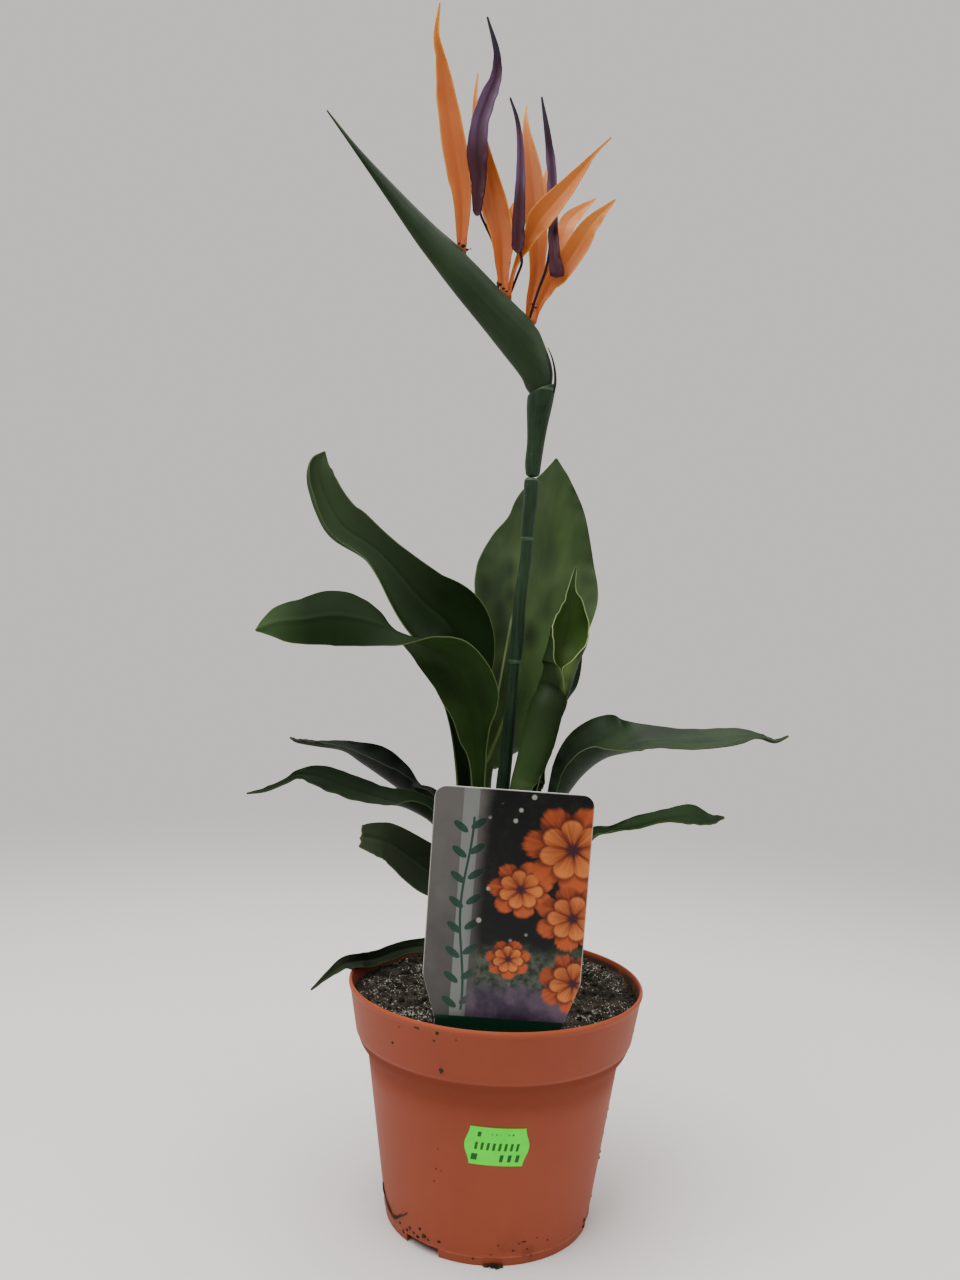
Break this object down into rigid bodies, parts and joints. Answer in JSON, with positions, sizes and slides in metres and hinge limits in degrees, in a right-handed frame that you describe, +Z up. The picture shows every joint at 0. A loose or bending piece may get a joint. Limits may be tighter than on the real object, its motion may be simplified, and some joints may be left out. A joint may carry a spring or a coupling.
{
  "type": "potted plant",
  "caption": "Bird of paradise plant in a tapered grower's pot: beak-shaped flower with orange sepals and purple tongues, paddle leaves, plain label card and price sticker.",
  "frame": {"origin": "centre of the pot's underside, on the surface it stands on", "axes": "+Z up along the pot's axis and the flower stem; -Y is the front, where the label card and the sticker are"},
  "size_m": [0.2306, 0.132, 0.5298],
  "materials": {
    "pot_plastic": "brick-orange moulded plastic, satin",
    "potting_soil": "dark crumbly potting soil with pale grit, dull",
    "label_card": null,
    "sticker_paper": "fluorescent green paper sticker with plain dark bars",
    "flower_stem": "bluish green stalk, satin",
    "spathe_green": "dark green waxy skin, satin",
    "sepal_orange": "orange waxy petals with yellow margins, soft sheen",
    "tongue_purple": "purple with dark tips, soft sheen",
    "leaf_green": "green leaf with fine cross veins, satin",
    "leaf_dark": "dark green leaf in shade, satin",
    "leaf_pale": "lighter green leaf, satin",
    "leaf_grey": "greyish green leaf, satin"
  },
  "bodies": {
    "root": {"pot": "pot_plastic", "soil": "potting_soil", "plant_label": "label_card", "price_sticker": "sticker_paper", "stem_lower": "flower_stem", "stem_upper": "flower_stem", "spathe": "spathe_green", "floret_left": "sepal_orange", "floret_middle": "sepal_orange", "floret_right": "sepal_orange", "tongue_left": "tongue_purple", "tongue_middle": "tongue_purple", "tongue_right": "tongue_purple", "leaf_upper_left": "leaf_green", "leaf_twisted_left": "leaf_green", "leaf_dark_left": "leaf_dark", "leaf_low_left": "leaf_dark", "leaf_cut_left": "leaf_green", "leaf_over_rim": "leaf_pale", "leaf_broad_rear": "leaf_pale", "leaf_rolled": "leaf_green", "leaf_dark_rear": "leaf_dark", "leaf_long_right": "leaf_grey", "leaf_short_right": "leaf_green", "leaf_young_tip": "leaf_pale"}
  },
  "joints": []
}
